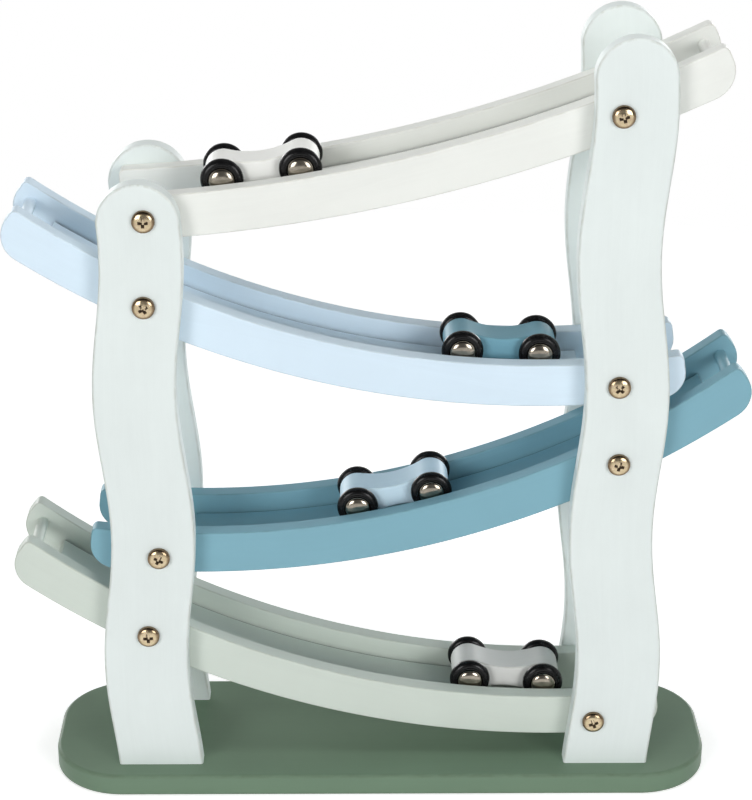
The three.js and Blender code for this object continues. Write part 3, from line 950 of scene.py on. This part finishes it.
def floor_white():
    """Pale floor that keeps the shadow near the track and is seen as white further off."""
    material, tree, shader = new_material("floor_white")
    tree.nodes.remove(shader)
    lit = tree.nodes.new("ShaderNodeBsdfDiffuse")
    lit.inputs["Color"].default_value = FLOOR_COLOUR
    glow = tree.nodes.new("ShaderNodeEmission")
    white = tree.nodes.new("ShaderNodeEmission")
    both = tree.nodes.new("ShaderNodeAddShader")
    blend = tree.nodes.new("ShaderNodeMixShader")
    place = tree.nodes.new("ShaderNodeNewGeometry")
    distance = tree.nodes.new("ShaderNodeVectorMath")
    distance.operation = "LENGTH"
    seen = seen_directly(tree)
    tree.links.new(place.outputs["Position"], distance.inputs[0])
    fade = ranged(tree, distance.outputs["Value"], (SHADOW_RADIUS, WHITE_RADIUS))
    tree.links.new(math_node(tree, "MULTIPLY", seen, FLOOR_GLOW), glow.inputs["Strength"])
    tree.links.new(lit.outputs["BSDF"], both.inputs[0])
    tree.links.new(glow.outputs["Emission"], both.inputs[1])
    tree.links.new(math_node(tree, "MULTIPLY", fade, seen), blend.inputs["Fac"])
    tree.links.new(both.outputs["Shader"], blend.inputs[1])
    tree.links.new(white.outputs["Emission"], blend.inputs[2])
    tree.links.new(blend.outputs["Shader"], tree.nodes["Material Output"].inputs["Surface"])
    return material


def add_floor():
    half = FLOOR_SIZE / 2
    corners = [(-half, -half, 0), (half, -half, 0), (half, half, 0), (-half, half, 0)]
    mesh = bpy.data.meshes.new("floor")
    mesh.from_pydata(corners, [], [(0, 1, 2, 3)])
    mesh.materials.append(floor_white())
    floor = bpy.data.objects.new("floor", mesh)
    bpy.context.scene.collection.objects.link(floor)


def add_world():
    """Even studio light, seen as white, but darker towards -Y and overhead in what metal mirrors."""
    world = bpy.data.worlds.new("studio")
    bpy.context.scene.world = world
    world.use_nodes = True
    tree = world.node_tree
    light = tree.nodes["Background"]
    light.inputs["Strength"].default_value = AMBIENT
    light.inputs["Color"].default_value = WHITE
    shown = tree.nodes.new("ShaderNodeBackground")
    shown.inputs["Color"].default_value = WHITE
    blend = tree.nodes.new("ShaderNodeMixShader")
    direction = tree.nodes.new("ShaderNodeTexCoord")
    parts = tree.nodes.new("ShaderNodeSeparateXYZ")
    path = tree.nodes.new("ShaderNodeLightPath")
    tree.links.new(direction.outputs["Generated"], parts.inputs["Vector"])
    behind = ranged(tree, parts.outputs["Y"], FRONT_SPAN, (DARK_SIDE, 1))
    above = ranged(tree, parts.outputs["Z"], OVERHEAD_SPAN, (1, DARK_SIDE))
    mirrored = math_node(tree, "MULTIPLY", behind, above)
    strength = math_node(tree, "MAXIMUM", mirrored, path.outputs["Is Camera Ray"])
    tree.links.new(strength, shown.inputs["Strength"])
    tree.links.new(seen_directly(tree), blend.inputs["Fac"])
    tree.links.new(light.outputs["Background"], blend.inputs[1])
    tree.links.new(shown.outputs["Background"], blend.inputs[2])
    tree.links.new(blend.outputs["Shader"], tree.nodes["World Output"].inputs["Surface"])


def add_lamps():
    for name, place, (width, height), watts, mirrored in LAMPS:
        lamp = bpy.data.lights.new(name, "AREA")
        lamp.shape = "RECTANGLE"
        lamp.size, lamp.size_y = width, height
        lamp.energy = watts
        holder = bpy.data.objects.new(name, lamp)
        holder.location = place
        holder.rotation_euler = (LAMP_TARGET - Vector(place)).to_track_quat("-Z", "Y").to_euler()
        holder.visible_glossy = mirrored
        bpy.context.scene.collection.objects.link(holder)


# Camera
CAMERA_PLACE = Vector((-0.01512, -0.89565, 0.54564))
CAMERA_YAW = math.radians(0.799)
CAMERA_PITCH = math.radians(21.064)
CAMERA_ROLL = math.radians(0.257)
CAMERA_LENS = 105.336
CAMERA_SHIFT_Y = -0.1
CAMERA_SENSOR = 36
CAMERA_CLIP_START = 0.02


def add_camera():
    """Camera at the photograph's angle, looking along +Y and down."""
    level = Vector((math.sin(CAMERA_YAW), math.cos(CAMERA_YAW), 0))
    forward = level * math.cos(CAMERA_PITCH) - Vector((0, 0, math.sin(CAMERA_PITCH)))
    right = Vector((math.cos(CAMERA_YAW), -math.sin(CAMERA_YAW), 0))
    up = right.cross(forward)
    rolled_right = right * math.cos(CAMERA_ROLL) + up * math.sin(CAMERA_ROLL)
    rolled_up = up * math.cos(CAMERA_ROLL) - right * math.sin(CAMERA_ROLL)
    data = bpy.data.cameras.new("camera")
    data.lens = CAMERA_LENS
    data.sensor_width = CAMERA_SENSOR
    data.shift_y = CAMERA_SHIFT_Y
    data.clip_start = CAMERA_CLIP_START
    camera = bpy.data.objects.new("camera", data)
    turn = Matrix((rolled_right, rolled_up, -forward)).transposed().to_4x4()
    camera.matrix_world = Matrix.Translation(CAMERA_PLACE) @ turn
    bpy.context.scene.collection.objects.link(camera)
    bpy.context.scene.camera = camera


add_camera()
place_ramps()
add_base()
add_posts()
for ramp in RAMPS:
    add_ramp(ramp)
add_screws()
add_cars()
add_floor()
add_world()
add_lamps()
bpy.context.scene.view_settings.view_transform = "Standard"
